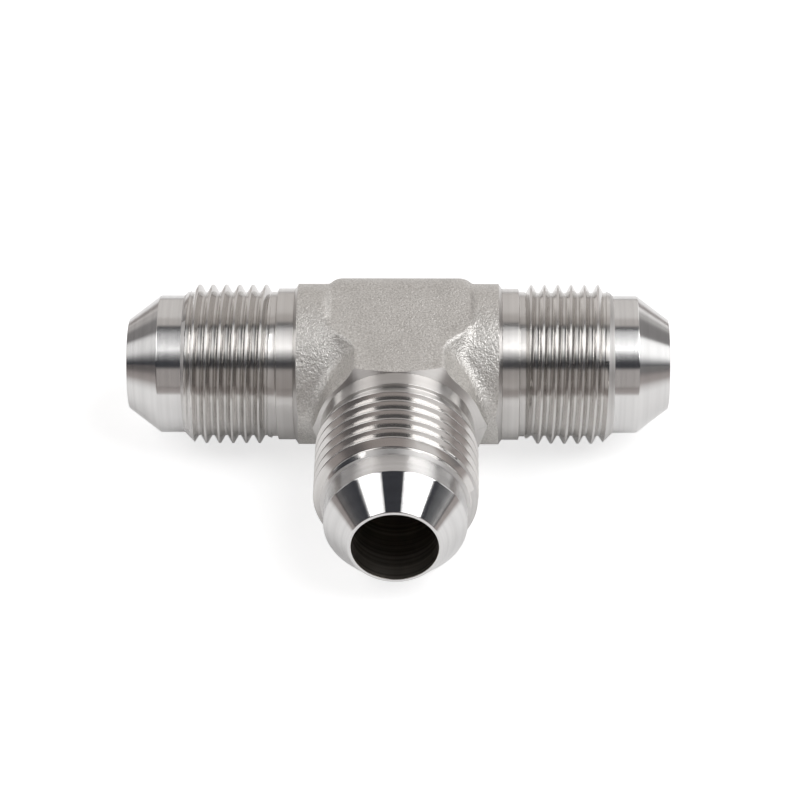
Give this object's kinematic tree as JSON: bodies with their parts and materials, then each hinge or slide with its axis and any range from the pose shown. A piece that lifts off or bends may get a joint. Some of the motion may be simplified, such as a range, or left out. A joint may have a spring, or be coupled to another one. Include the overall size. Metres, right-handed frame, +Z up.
{
  "type": "flare tee fitting",
  "caption": "Stainless flare tee: three equal male flare ends with threads on one forged body with a wrench pad, to join three tubes.",
  "frame": {"origin": "where the axis of the run crosses the axis of the branch", "axes": "+X along the run, the branch points along -Y, +Z up out of the top wrench pad"},
  "size_m": [0.0644, 0.0418, 0.0192],
  "materials": {
    "stainless": "grit-blasted forged middle with bright turned ends"
  },
  "bodies": {
    "root": {"tee_body": "stainless"}
  },
  "joints": []
}
